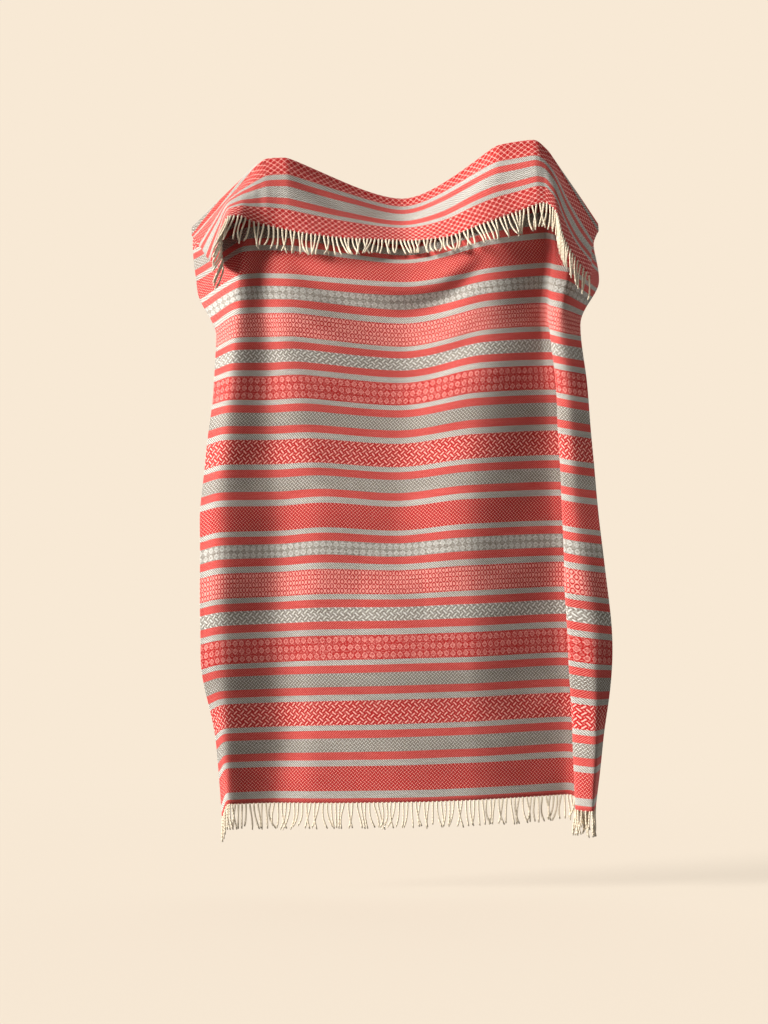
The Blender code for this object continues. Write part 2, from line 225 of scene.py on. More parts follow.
def along(knots: Any, values: Any, places: Any) -> np.ndarray:
    """Read a smooth curve through values at knots, one that never overshoots a fold.

    Args:
        knots: where the values are known, in rising order.
        values: the known values.
        places: where the curve is read.

    Returns:
        The curve's values at the places.
    """
    knots = np.asarray(knots, dtype=float)
    values = np.asarray(values, dtype=float)
    gaps = np.diff(knots)
    slopes = np.diff(values) / gaps
    tangents = np.zeros_like(values)
    before, after = slopes[:-1], slopes[1:]
    same_way = before * after > 0.0
    weight_a = 2.0 * gaps[1:] + gaps[:-1]
    weight_b = gaps[1:] + 2.0 * gaps[:-1]
    safe_before = np.where(same_way, before, 1.0)
    safe_after = np.where(same_way, after, 1.0)
    mean = (weight_a + weight_b) / (weight_a / safe_before + weight_b / safe_after)
    tangents[1:-1] = np.where(same_way, mean, 0.0)
    tangents[0], tangents[-1] = slopes[0], slopes[-1]
    places = np.clip(np.asarray(places, dtype=float), knots[0], knots[-1])
    cell = np.clip(np.searchsorted(knots, places, side="right") - 1, 0, len(gaps) - 1)
    part = (places - knots[cell]) / gaps[cell]
    rise = values[cell + 1] - values[cell]
    start = tangents[cell] * gaps[cell]
    end = tangents[cell + 1] * gaps[cell]
    return (values[cell] + part * start
            + part ** 2 * (3.0 * rise - 2.0 * start - end)
            + part ** 3 * (start + end - 2.0 * rise))


class Column:
    """One line down the cloth, from the bottom hem over the fold to the flap's hem."""

    def __init__(self, place: float) -> None:
        """Read the tables at one place among the guides."""
        self.place = place
        self.at_hem = self.guided("at_hem")
        self.at_waist = self.guided("at_waist")
        self.at_chest = self.guided("at_chest")
        self.at_fold = self.guided("at_fold")
        self.radius = self.guided("fold_radius")
        self.fold_up = self.guided("fold_up")
        self.half_bend = self.radius * math.pi / 2.0
        self.top = self.fold_up - self.half_bend
        self.knots = [section.up for section in SECTIONS[:-1]] + [self.top]
        self.runs = [[float(along(range(len(GUIDES)), getattr(section, axis), place))
                      for section in SECTIONS] for axis in "xyz"]
        self.fold = np.array([run[-1] for run in self.runs])
        self.runs[1][-1] += self.radius
        self.runs[2][-1] -= self.radius
        self.flap_length = LENGTH - self.fold_up - self.half_bend
        marks = [row.across for row in FLAP_HEM]
        x, y, z, self.belly, self.loose = (
            float(along(marks, [getattr(row, name) for row in FLAP_HEM], self.at_fold))
            for name in ("x", "y", "z", "belly", "loose"))
        self.front = np.array([0.0, -2.0 * self.radius, 0.0])
        behind = self.hanging(np.array([self.top - self.flap_length]))[0] + self.front
        self.shift = np.array([x, y, z]) - behind

    def guided(self, name: str) -> float:
        """Read one value of the guides at this column's place."""
        return float(along(range(len(GUIDES)), [getattr(guide, name) for guide in GUIDES], self.place))

    def slack(self, up: np.ndarray) -> np.ndarray:
        """The depth that the swags add at distances up the cloth, down to nothing at the grips."""
        side = abs(self.place - MIDDLE)
        window = 1.0 - steps(SWAG_FULL, SWAG_ENDS, side)
        total = np.zeros_like(up)
        for swag in SWAGS:
            line = swag.up_middle + (swag.up_grips - swag.up_middle) * side ** 2
            total -= swag.bulge * np.exp(-((up - line) / swag.width) ** 2)
        return total * window

    def hanging(self, up: np.ndarray) -> np.ndarray:
        """Points of the part that hangs, at distances up from the bottom hem."""
        points = np.stack([along(self.knots, run, up) for run in self.runs], axis=-1)
        points[:, 1] += self.slack(up) * (1.0 - steps(self.top - FOLD_EASE, self.top, up))
        return points

    def bend(self, turn: np.ndarray) -> np.ndarray:
        """Points of the fold, from the back at 0 over the top to the front at pi."""
        around = np.stack([np.zeros_like(turn), np.cos(turn), np.sin(turn) - 1.0], axis=-1)
        return self.fold + self.radius * around

    def flap(self, down: np.ndarray) -> np.ndarray:
        """Points of the flap, at distances down from the fold."""
        part = down / self.flap_length
        points = self.hanging(self.top - down) + self.front + self.shift * part[:, None]
        points[:, 1] -= self.belly * np.sin(math.pi * np.minimum(part, 1.0))
        return points

    def across(self, up: np.ndarray) -> np.ndarray:
        """Distance from the left edge in the weave, at distances up the cloth."""
        heights = {section.name: section.up for section in SECTIONS}
        knots = (0.0, heights["waist"], heights["chest"], self.fold_up)
        return along(knots, (self.at_hem, self.at_waist, self.at_chest, self.at_fold), up)


@dataclass
class Drape:
    """The hanging cloth as a grid of points, with each point's place in the weave.

    Args:
        cells_across: cells between the two selvedges.
        cells_up: cells up the part that hangs.
        cells_fold: cells around the fold.
        cells_flap: cells down the flap.
    """
    cells_across: int = 225
    cells_up: int = 170
    cells_fold: int = 8
    cells_flap: int = 30
    points: np.ndarray = field(init=False)
    weave: np.ndarray = field(init=False)
    columns: list[Column] = field(init=False)

    def __post_init__(self) -> None:
        """Work out every column, then add the cloth's own unevenness."""
        self.columns = [Column(place) for place in self.places()]
        turn = np.pi * np.arange(self.cells_fold) / self.cells_fold
        points = []
        weave = []
        for column in self.columns:
            rise = column.top * np.arange(self.cells_up) / self.cells_up
            down = column.flap_length * np.arange(self.cells_flap + 1) / self.cells_flap
            up = np.concatenate([rise, column.top + turn * column.radius,
                                 LENGTH - column.flap_length + down])
            points.append(np.concatenate([column.hanging(rise), column.bend(turn), column.flap(down)]))
            weave.append(np.stack([column.across(up), up], axis=-1))
        self.points = np.array(points)
        self.weave = np.array(weave)
        self.points += self.normals() * self.relief()[..., None]

    @property
    def rows(self) -> int:
        """Cells from the bottom hem over the fold to the flap's hem."""
        return self.cells_up + self.cells_fold + self.cells_flap

    def places(self) -> np.ndarray:
        """The columns' places among the guides, at even distances across the cloth."""
        fine = np.linspace(0.0, len(GUIDES) - 1.0, 2001)
        across = along(range(len(GUIDES)), [(guide.at_chest + guide.at_fold) / 2.0 for guide in GUIDES], fine)
        return np.interp(np.linspace(0.0, WIDTH, self.cells_across + 1), across, fine)

    def normals(self) -> np.ndarray:
        """The direction that the front face looks in, at each point."""
        sideways = np.gradient(self.points, axis=0)
        upward = np.gradient(self.points, axis=1)
        square = np.cross(sideways, upward)
        return square / np.linalg.norm(square, axis=-1, keepdims=True)

    def relief(self) -> np.ndarray:
        """How far the creases and the cloth's own unevenness lift each point to the front face."""
        across, up = self.weave[..., 0], self.weave[..., 1]
        lift = 0.0009 * np.sin(across * 23.0 + 4.0 * np.sin(up * 5.1))
        lift += 0.0007 * np.sin(up * 31.0 + 3.0 * np.sin(across * 9.0 + 1.0))
        for crease in CREASES:
            start, end = np.array(crease.start), np.array(crease.end)
            reach = end - start
            part = np.clip(((self.weave - start) @ reach) / (reach @ reach), 0.0, 1.0)
            off = np.linalg.norm(self.weave - start - part[..., None] * reach, axis=-1)
            lift += crease.lift * np.exp(-(off / crease.width) ** 2) * np.sin(math.pi * (0.1 + 0.8 * part))
        return lift


class Wire:
    """A value in a shader that plain arithmetic can be written with."""

    def __init__(self, shader: "Shader", socket: bpy.types.NodeSocket) -> None:
        """Keep the shader and the socket that the value comes out of."""
        self.shader = shader
        self.socket = socket

    def math(self, operation: str, *values: Any) -> "Wire":
        """Add a Math node that works on this value and the others."""
        return self.shader.math(operation, self, *values)

    def __add__(self, other: Any) -> "Wire":
        """Add."""
        return self.math("ADD", other)

    __radd__ = __add__

    def __sub__(self, other: Any) -> "Wire":
        """Subtract the other value."""
        return self.math("SUBTRACT", other)

    def __rsub__(self, other: Any) -> "Wire":
        """Subtract from the other value."""
        return self.shader.math("SUBTRACT", other, self)

    def __mul__(self, other: Any) -> "Wire":
        """Multiply."""
        return self.math("MULTIPLY", other)

    __rmul__ = __mul__

    def __truediv__(self, other: Any) -> "Wire":
        """Divide by the other value."""
        return self.math("DIVIDE", other)

    def part(self) -> "Wire":
        """What is left above the whole number below."""
        return self.math("FRACT")

    def whole(self) -> "Wire":
        """The whole number below."""
        return self.math("FLOOR")

    def size(self) -> "Wire":
        """The value without its sign."""
        return self.math("ABSOLUTE")

    def cosine(self) -> "Wire":
        """The cosine of the value as an angle."""
        return self.math("COSINE")

    def most(self, other: Any) -> "Wire":
        """The larger of the two."""
        return self.math("MAXIMUM", other)

    def over(self, limit: float) -> "Wire":
        """1 where the value is above the limit, else 0."""
        return self.math("GREATER_THAN", limit)

    def under(self, limit: float) -> "Wire":
        """1 where the value is below the limit, else 0."""
        return self.math("LESS_THAN", limit)

    def rise(self, low: float, high: float) -> "Wire":
        """Go smoothly from 0 at low to 1 at high."""
        node = self.shader.node("ShaderNodeMapRange", {"interpolation_type": "SMOOTHSTEP"},
                                {"Value": self, "From Min": low, "From Max": high})
        return Wire(self.shader, node.outputs["Result"])

    def between(self, low: float, high: float) -> "Wire":
        """1 from low up to high, else 0."""
        return self.over(low) * self.under(high)


class Shader:
    """A material that is put together node by node."""

    def __init__(self, name: str) -> None:
        """Start the material with its Principled shader."""
        self.material = bpy.data.materials.new(name)
        self.material.use_nodes = True
        self.tree = self.material.node_tree
        self.surface = self.tree.nodes["Principled BSDF"]

    def node(self, kind: str, settings: dict[str, Any] | None = None,
             inputs: dict[Any, Any] | None = None) -> bpy.types.Node:
        """Add a node.

        Args:
            kind: the node's type.
            settings: its own settings, set first; "stops" fills a ramp.
            inputs: values or wires for its sockets, by name or number.

        Returns:
            The new node.
        """
        node = self.tree.nodes.new(kind)
        for name, value in (settings or {}).items():
            if name == "stops":
                self.fill_ramp(node.color_ramp, value)
            else:
                setattr(node, name, value)
        for name, value in (inputs or {}).items():
            self.feed(node.inputs[name], value)
        return node

    def feed(self, socket: bpy.types.NodeSocket, value: Any) -> None:
        """Set a socket to a value, or link a wire to it."""
        if isinstance(value, Wire):
            self.tree.links.new(value.socket, socket)
        else:
            socket.default_value = value

    @staticmethod
    def fill_ramp(ramp: bpy.types.ColorRamp, stops: list[tuple[float, tuple[float, ...]]]) -> None:
        """Give a colour ramp its stops."""
        while len(ramp.elements) < len(stops):
            ramp.elements.new(1.0)
        for element, (position, colour) in zip(ramp.elements, stops):
            element.position = position
            element.color = (*colour, 1.0)

    def math(self, operation: str, *values: Any) -> Wire:
        """Add a Math node on up to three values."""
        node = self.node("ShaderNodeMath", {"operation": operation}, dict(enumerate(values)))
        return Wire(self, node.outputs[0])

    def mix(self, share: Any, low: Any, high: Any) -> Wire:
        """Mix two colours, given as red, green and blue or as wires."""
        colours = [value if isinstance(value, Wire) else (*value, 1.0) for value in (low, high)]
        node = self.node("ShaderNodeMix", {"data_type": "RGBA"},
                         {"Factor": share, 6: colours[0], 7: colours[1]})
        return Wire(self, node.outputs[2])

    def noise(self, across: Wire, along_: Wire, detail: float = 2.0) -> Wire:
        """Read soft noise at a place given by two scaled values."""
        place = self.node("ShaderNodeCombineXYZ", inputs={0: across, 1: along_})
        node = self.node("ShaderNodeTexNoise", {"noise_dimensions": "2D"},
                         {"Vector": Wire(self, place.outputs[0]), "Scale": 1.0, "Detail": detail})
        return Wire(self, node.outputs["Fac"])

    def uv(self, name: str) -> tuple[Wire, Wire]:
        """Read a UV map as two values."""
        source = self.node("ShaderNodeUVMap", {"uv_map": name})
        split = self.node("ShaderNodeSeparateXYZ", inputs={0: Wire(self, source.outputs[0])})
        return Wire(self, split.outputs[0]), Wire(self, split.outputs[1])

    def finish(self, colour: Any, roughness: float, height: Wire, depth: float) -> bpy.types.Material:
        """Join colour, roughness and relief to the surface.

        Args:
            colour: the base colour as a wire.
            roughness: the roughness all over.
            height: relief from 0 to 1.
            depth: how deep that relief is in metres.

        Returns:
            The finished material.
        """
        bump = self.node("ShaderNodeBump", inputs={"Height": height, "Distance": depth})
        self.feed(self.surface.inputs["Base Color"], colour)
        self.feed(self.surface.inputs["Roughness"], roughness)
        self.feed(self.surface.inputs["Normal"], Wire(self, bump.outputs[0]))
        return self.material


class Face(Enum):
    """The two faces of the cloth."""
    FRONT = "front"
    REVERSE = "reverse"


@dataclass(frozen=True)
class StripedWeave:
    """The woven stripes as one face of the cloth shows them.

    Args:
        face: which face of the cloth it is.
        red: the ground of the red stripes.
        scarlet: floats of the red yarn alone.
        coral: floats where pale yarn is twisted with the red.
        shade: the dark floats on grey.
        pale: the light floats on grey.
    """
    face: Face
    red: tuple[float, float, float] = (0.46, 0.012, 0.012)
    scarlet: tuple[float, float, float] = (0.72, 0.180, 0.148)
    coral: tuple[float, float, float] = (0.98, 0.47, 0.39)
    shade: tuple[float, float, float] = (0.19, 0.150, 0.115)
    pale: tuple[float, float, float] = (0.71, 0.68, 0.61)

    # Where each stripe ends, in stripe units from the start of a wide one.
    first_wide: float = 0.186
    wide: float = 0.376
    thin_grey: float = 0.470
    thin_red: float = 0.590
    medium: float = 0.800
    second_red: float = 0.920
    hem_red: float = 0.075
    twill_pitch: float = REPEAT / 2.8
    fine: float = 1.75

    def material(self) -> bpy.types.Material:
        """Build the material from the cloth's weave map."""
        shader = Shader(f"woven_{self.face.value}")
        across, up = shader.uv("weave")
        stripe = up / STRIPE_UNIT - self.first_wide
        number = (stripe.whole() / 4.0).part() * 4.0
        place = stripe.part()
        in_wide = place.under(self.wide)
        in_medium = place.between(self.thin_red, self.medium)
        in_thin_red = place.between(self.thin_grey, self.thin_red) + place.between(self.medium,
                                                                                  self.second_red)
        below_first = stripe.under(0.0)
        hem = up.under(self.hem_red * STRIPE_UNIT)
        in_red = (in_wide + in_thin_red) * (1.0 - below_first) + hem
        from_wide = (place - self.wide / 2.0) * STRIPE_UNIT
        from_medium = (place - (self.thin_red + self.medium) / 2.0) * STRIPE_UNIT
        kinds = [(number - kind).size().under(0.5) for kind in range(4)]
        figures = self.figures(across, from_wide, from_medium)
        wide_float, medium_float = (sum((mask * figure for mask, figure in zip(kinds[1:], row[1:])),
                                        start=kinds[0] * row[0]) for row in figures)
        lean = up * (1.0 - in_red * 2.0)
        twill = ((across + lean) / self.twill_pitch - 0.5).part() - 0.5
        thin_float = twill.size().rise(0.12, 0.36) * 0.9
        plain = (1.0 - in_wide) * (1.0 - in_medium)
        floats = wide_float * in_wide + medium_float * in_medium + thin_float * plain
        fuzz = shader.noise(across * 280.0, up * 280.0, 3.0)
        slub = shader.noise(across * 16.0, up * 260.0)
        drift = shader.noise(across * 5.0, up * 9.0)
        floats = floats + (fuzz - 0.5) * 1.25 + (slub - 0.5) * 0.45
        twisted = (1.0 - kinds[0] * 0.25) * in_wide
        light = shader.mix(twisted, self.scarlet, self.coral)
        on_red = shader.mix(floats, self.red, light)
        on_grey = shader.mix(floats, self.shade, self.pale)
        colour = shader.mix(in_red, on_grey, on_red)
        # The drift noise gives the tone a little random unevenness; the depth factor is painted shade that
        # darkens the whole reverse face.
        colour = self.tinted(shader, colour, (drift * 0.34 + 0.83) * self.depth)
        height = floats * 0.55 + fuzz * 0.45
        shader.surface.inputs["Sheen Weight"].default_value = 0.06
        shader.surface.inputs["Sheen Roughness"].default_value = 0.5
        shader.surface.inputs["Specular IOR Level"].default_value = 0.08
        return shader.finish(colour, 0.92, height, 0.0006)

    def figures(self, across: Wire, from_wide: Wire, from_medium: Wire) -> tuple[list[Wire], list[Wire]]:
        """The figures of the four wide stripes in turn, and of the four grey ones that follow them.

        Args:
            across: the place across the cloth.
            from_wide: the height above the middle of a wide stripe.
            from_medium: the height above the middle of a grey stripe.

        Returns:
            How much each figure's light floats cover, wide stripes first.
        """
        small_wide = self.basket(across * self.fine, from_wide * self.fine)
        small_medium = self.basket(across * self.fine, from_medium * self.fine)
        if self.face is Face.FRONT:
            ring_row = from_medium + REPEAT * 0.54
            return ([small_wide * 1.35 - 0.22,
                     self.basket(across, from_wide) * 1.05,
                     self.chain(across, from_wide, REPEAT * 1.21, 0.30) * 0.54,
                     self.eyes(across, from_wide, REPEAT, REPEAT * 1.42) * 0.84],
                    [small_medium * 1.5 + 0.02,
                     small_medium * 1.7 - 0.02,
                     self.basket(across, from_medium) * 0.9 + 0.20,
                     self.chain(across, ring_row, REPEAT * 1.08, 0.0) * 0.42 + 0.27])
        return ([self.trellis(across, from_wide, 0.6),
                 small_wide * 1.25,
                 self.trellis(across, from_wide, 0.0),
                 self.trellis(across, from_wide, 1.0)],
                [self.herringbone(across, from_medium),
                 small_medium,
                 self.herringbone(across, from_medium),
                 self.herringbone(across, from_medium)])

    @property
    def depth(self) -> float:
        """Painted shade: the reverse, which shows on the flap that faces up into the light, is made a little
        darker than the front.
        """
        return 1.0 if self.face is Face.FRONT else 0.92

    @staticmethod
    def tinted(shader: Shader, colour: Wire, amount: Wire) -> Wire:
        """Make a colour lighter or darker by an amount about 1."""
        node = shader.node("ShaderNodeVectorMath", {"operation": "SCALE"}, {0: colour, "Scale": amount})
        return Wire(shader, node.outputs[0])

    @staticmethod
    def basket(across: Wire, off: Wire) -> Wire:
        """Short slanting floats that turn about from one to the next."""
        right = (across + off) / REPEAT + 1.0
        left = (across - off) / REPEAT
        right_cell = (right + 0.5).whole()
        left_cell = (left + 0.5).whole()
        odd = ((right_cell + left_cell) / 2.0).part() * 2.0
        right_off = (right - right_cell).size()
        left_off = (left - left_cell).size()
        beside = right_off * odd + left_off * (1.0 - odd)
        end = left_off * odd + right_off * (1.0 - odd)
        dot = right_off.rise(0.36, 0.46) * left_off.rise(0.36, 0.46)
        return (1.0 - beside.rise(0.07, 0.18)) * (1.0 - end.rise(0.44, 0.54)) * 1.15 + dot * 0.4

    @staticmethod
    def field(across: Wire, off: Wire, wide: float, high: float) -> Wire:
        """A field of hills and hollows, from 1 to -1, that repeats at a width and a height."""
        return ((across * (FULL_TURN / wide)).cosine() + (off * (FULL_TURN / high)).cosine()) * 0.5

    def eyes(self, across: Wire, off: Wire, wide: float, high: float) -> Wire:
        """Small diamonds, each with an eye."""
        hill = self.field(across, off, wide, high).size()
        return (1.0 - hill.rise(0.06, 0.32)) * 0.85 + hill.rise(0.58, 0.85) * 0.8

    def chain(self, across: Wire, off: Wire, high: float, between: float) -> Wire:
        """Rows of rings, with small diamonds between the rows that are as light as between says."""
        hill = self.field(across, off, REPEAT, high)
        ring = hill.rise(-0.04, 0.16) * (0.95 - hill.rise(0.40, 0.75) * 0.45)
        return ring + (0.0 - hill).rise(0.20, 0.5) * between

    def trellis(self, across: Wire, off: Wire, knots: float) -> Wire:
        """Thin slanting lines that cross, with light knots on every second crossing."""
        hill = self.field(across, off, REPEAT, REPEAT)
        knot = self.field(across, off + REPEAT / 2.0, REPEAT, REPEAT)
        return (1.0 - hill.size().rise(0.08, 0.26)) * 0.75 + knot.rise(0.72, 0.92) * knots

    @staticmethod
    def herringbone(across: Wire, off: Wire) -> Wire:
        """Short slanting strokes that lean left and right by turns."""
        turn = ((across / REPEAT).part() - 0.5).size() * REPEAT
        return 0.82 - ((off + turn) / (REPEAT * 0.40)).part().rise(0.35, 0.75) * 0.75


@dataclass(frozen=True)
class TwistedYarn:
    """The cream yarn of the fringes: two plies twisted together."""
    cream: tuple[float, float, float] = (0.76, 0.64, 0.47)
    # Colour painted into the grooves between the plies, where shade falls.
    groove_shade: tuple[float, float, float] = (0.60, 0.48, 0.33)
    lay: float = 0.008

    def material(self) -> bpy.types.Material:
        """Build the material from the yarn map: around the strand, and along it in metres."""
        shader = Shader("twisted_yarn")
        around, down = shader.uv("yarn")
        ply = (around * 2.0 + down / self.lay).part()
        crown = 1.0 - ((ply - 0.5) * 2.0).size()
        fibres = shader.noise(around * 9.0 + down / self.lay * 4.5, down * 300.0)
        height = crown.rise(0.0, 0.6) * 0.8 + fibres * 0.2
        # Painted shade: the colour goes darker down into the grooves between the plies; the fibre noise adds
        # a little random tone.
        colour = shader.mix(height.rise(0.05, 0.6), self.groove_shade, self.cream)
        shader.surface.inputs["Sheen Weight"].default_value = 0.3
        shader.surface.inputs["Specular IOR Level"].default_value = 0.2
        return shader.finish(colour, 0.9, height, 0.0008)


@dataclass(frozen=True)
class PaperBackdrop:
    """The plain pale paper of the studio, which glows so that it is even all over.

    Args:
        tone: what the paper looks like.
        lit: share of that tone which the lights give near the blanket, where its shadow falls.
        light: how much light falls on the floor, as a multiple of the paper's own colour.
        fades_from: distance behind the blanket from which the lit share fades.
        fades_to: distance behind it from which the paper only glows.
    """
    tone: tuple[float, float, float] = (0.939, 0.815, 0.665)
    lit: float = 0.24
    light: float = 1.2
    fades_from: float = 0.9
    fades_to: float = 2.8

    def scaled(self, share: float) -> tuple[float, ...]:
        """The tone at a share of its strength."""
        return tuple(value * share for value in self.tone)

    def material(self) -> bpy.types.Material:
        """Build the material from the sheet's own coordinates."""
        shader = Shader("studio_paper")
        source = shader.node("ShaderNodeTexCoord")
        place = Wire(shader, source.outputs["Object"])
        split = shader.node("ShaderNodeSeparateXYZ", inputs={0: place})
        far = Wire(shader, split.outputs[1]).rise(self.fades_from, self.fades_to)
        grain = shader.node("ShaderNodeTexNoise", inputs={"Vector": place, "Scale": 40.0})
        colour = shader.mix(far, self.scaled(self.lit / self.light), (0.0, 0.0, 0.0))
        glow = shader.mix(far, self.scaled(1.0 - self.lit), self.tone)
        shader.surface.inputs["Specular IOR Level"].default_value = 0.0
        shader.surface.inputs["Emission Strength"].default_value = 1.0
        shader.feed(shader.surface.inputs["Emission Color"], glow)
        return shader.finish(colour, 1.0, Wire(shader, grain.outputs["Fac"]), 0.0001)


def select_only(piece: bpy.types.Object) -> None:
    """Deselect everything, then make one object the selected and active one."""
    if bpy.context.object and bpy.context.object.mode != "OBJECT":
        bpy.ops.object.mode_set(mode="OBJECT")
    bpy.ops.object.select_all(action="DESELECT")
    piece.select_set(True)
    bpy.context.view_layer.objects.active = piece


def named(piece: bpy.types.Object, name: str) -> bpy.types.Object:
    """Give an object and its mesh one name."""
    piece.name = name
    piece.data.name = name
    return piece


@dataclass
class WovenSheet:
    """The blanket's cloth: one sheet with two faces."""
    drape: Drape
    piece: bpy.types.Object | None = None

    def build(self) -> bpy.types.Object:
        """Make the sheet, give it its thickness and dress both faces."""
        bpy.ops.object.select_all(action="DESELECT")
        bpy.ops.mesh.primitive_grid_add(x_subdivisions=self.drape.cells_across,
                                        y_subdivisions=self.drape.rows, size=1.0, calc_uvs=True)
        self.piece = named(bpy.context.object, "woven_cloth")
        self.hang()
        for face in Face:
            self.piece.data.materials.append(StripedWeave(face).material())
        self.thicken()
        return self.piece

    def hang(self) -> None:
        """Move the flat grid's points to the drape, and write the weave map."""
        mesh = self.piece.data
        flat = np.empty(len(mesh.vertices) * 3)
        mesh.vertices.foreach_get("co", flat)
        flat = flat.reshape(-1, 3)
        column = np.rint((flat[:, 0] + 0.5) * self.drape.cells_across).astype(int)
        row = np.rint((flat[:, 1] + 0.5) * self.drape.rows).astype(int)
        mesh.vertices.foreach_set("co", self.drape.points[column, row].ravel())
        corners = np.empty(len(mesh.loops), dtype=int)
        mesh.loops.foreach_get("vertex_index", corners)
        layer = mesh.uv_layers[0]
        layer.name = "weave"
        layer.data.foreach_set("uv", self.drape.weave[column, row][corners].ravel())
        mesh.update()

    def thicken(self) -> None:
        """Give the sheet its thickness, with the second material on the reverse."""
        select_only(self.piece)
        bpy.ops.object.shade_smooth()
        shell = self.piece.modifiers.new("cloth thickness", "SOLIDIFY")
        shell.thickness = THICKNESS
        shell.offset = 0.0
        shell.material_offset = 1
        bpy.ops.object.modifier_apply(modifier=shell.name)


class Hem(Enum):
    """The two ends of the cloth that carry a fringe."""
    BOTTOM = "bottom"
    TOP = "top"


@dataclass
class Fringe:
    """A row of twisted strands along one hem.

    Args:
        drape: the hanging cloth.
        hem: which end of the cloth it is on.
        length: length of a strand.
        pitch: distance from one strand to the next.
        thickness: diameter of the yarn.
        tuft_ends: how far to the right the tuft at the flap's left corner reaches.
        tuft_lean: how the strands of that tuft lean, for each metre that they hang down.
    """
    drape: Drape
    hem: Hem
    length: float = 0.066
    pitch: float = 0.0110
    thickness: float = 0.0052
    tuft_ends: float = -0.4
    tuft_lean: tuple[float, float, float] = (-0.55, 0.0, 0.0)
    sides: int = 6
    cuts: int = 6

    def build(self, finish: bpy.types.Material) -> bpy.types.Object:
        """Lay one copy of the strand at each station and join them."""
        strand = self.model_strand(finish)
        rest = np.array([vertex.co for vertex in strand.data.vertices])
        strands = []
        for number, path in enumerate(self.paths()):
            copy = bpy.data.objects.new(f"strand_{number}", strand.data.copy())
            bpy.context.scene.collection.objects.link(copy)
            copy.data.vertices.foreach_set("co", self.bent(rest, path).ravel())
            strands.append(copy)
        bpy.data.objects.remove(strand)
        select_only(strands[0])
        for copy in strands:
            copy.select_set(True)
        bpy.ops.object.join()
        piece = named(bpy.context.object, f"{self.hem.value}_strands")
        bpy.ops.object.shade_smooth()
        return piece

    def model_strand(self, finish: bpy.types.Material) -> bpy.types.Object:
        """Model one straight strand, a metre's part of yarn from height 0 to 1, with its yarn map."""
        bpy.ops.object.select_all(action="DESELECT")
        bpy.ops.mesh.primitive_cylinder_add(vertices=self.sides, radius=1.0, depth=1.0,
                                            end_fill_type="TRIFAN", location=(0.0, 0.0, 0.5))
        strand = named(bpy.context.object, "strand")
        bpy.ops.object.transform_apply(location=True)
        mesh = strand.data
        bpy.ops.object.mode_set(mode="EDIT")
        bpy.ops.mesh.select_all(action="DESELECT")
        bpy.ops.mesh.select_mode(type="EDGE")
        bpy.ops.object.mode_set(mode="OBJECT")
        for edge in mesh.edges:
            low, high = (mesh.vertices[index].co.z for index in edge.vertices)
            edge.select = abs(low - high) > 0.5
        bpy.ops.object.mode_set(mode="EDIT")
        bpy.ops.mesh.subdivide(number_cuts=self.cuts)
        bpy.ops.object.mode_set(mode="OBJECT")
        mesh.materials.append(finish)
        self.map_yarn(mesh)
        return strand

    def map_yarn(self, mesh: bpy.types.Mesh) -> None:
        """Write the yarn map: turns around the strand, and metres along it."""
        layer = mesh.uv_layers[0]
        layer.name = "yarn"
        for polygon in mesh.polygons:
            middle = math.atan2(polygon.center.y, polygon.center.x)
            for corner in polygon.loop_indices:
                point = mesh.vertices[mesh.loops[corner].vertex_index].co
                angle = math.atan2(point.y, point.x)
                angle += FULL_TURN * round((middle - angle) / FULL_TURN)
                layer.data[corner].uv = (angle / FULL_TURN, point.z * self.length)

    def bent(self, rest: np.ndarray, path: np.ndarray) -> np.ndarray:
        """Bend the straight strand along a path.

        Args:
            rest: the straight strand's points, with height 0 to 1 along it.
            path: four control points of the strand's centre line.

        Returns:
            The points of the bent strand.
        """
        part = rest[:, 2:3]
        left = 1.0 - part
        a, b, c, d = path
        centre = left ** 3 * a + 3 * left ** 2 * part * b + 3 * left * part ** 2 * c + part ** 3 * d
        tangent = 3 * left ** 2 * (b - a) + 6 * left * part * (c - b) + 3 * part ** 2 * (d - c)
        tangent /= np.linalg.norm(tangent, axis=1, keepdims=True)
        side = np.cross(tangent, np.array([0.0, 1.0, 0.0]))
        side /= np.linalg.norm(side, axis=1, keepdims=True)
        depth = np.cross(side, tangent)
        swell = 1.0 + 0.10 * np.sin(part * 9.0) - 0.25 * part ** 8
        radius = self.thickness / 2.0 * swell
        return centre + radius * (side * rest[:, 0:1] + depth * rest[:, 1:2])

    def stations(self) -> tuple[np.ndarray, np.ndarray, np.ndarray, np.ndarray, np.ndarray]:
        """Places along the hem with the cloth's directions there.

        Returns:
            Roots, outward directions, facing directions, directions along the hem, and looseness.
        """
        last = self.hem is Hem.TOP
        end, inner = (-1, -2) if last else (0, 1)
        across = self.drape.weave[:, end, 0]
        count = round(WIDTH / self.pitch)
        at = (np.arange(count) + 0.5) * WIDTH / count
        edge = self.drape.points[:, end]
        outward = edge - self.drape.points[:, inner]
        outward /= np.linalg.norm(outward, axis=1, keepdims=True)
        beside = np.gradient(edge, axis=0)
        beside /= np.linalg.norm(beside, axis=1, keepdims=True)
        face = self.drape.normals()[:, end]
        loose = np.array([column.loose for column in self.drape.columns])

        def read(values: np.ndarray) -> np.ndarray:
            """Read a value at the strands' places."""
            return np.stack([np.interp(at, across, values[:, axis]) for axis in range(3)], axis=-1)

        return read(edge), read(outward), read(face), read(beside), np.interp(at, across, loose)

    def falls(self, count: int) -> np.ndarray:
        """Where strands end from their roots, before they sway."""
        plumb = np.tile([0.0, 0.0, -self.length], (count, 1))
        if self.hem is Hem.BOTTOM:
            return plumb
        lying = np.array([column.flap(np.array([column.flap_length + self.length]))[0] - points[-1]
                          for column, points in zip(self.drape.columns, self.drape.points)])
        loose = np.array([column.loose for column in self.drape.columns])[:, None]
        fall = lying * (1.0 - loose) + np.array([0.0, 0.0, -self.length]) * loose
        across = self.drape.weave[:, -1, 0]
        at = (np.arange(count) + 0.5) * WIDTH / count
        fall = np.stack([np.interp(at, across, fall[:, axis]) for axis in range(3)], axis=-1)
        return fall * (self.length / np.linalg.norm(fall, axis=1, keepdims=True))

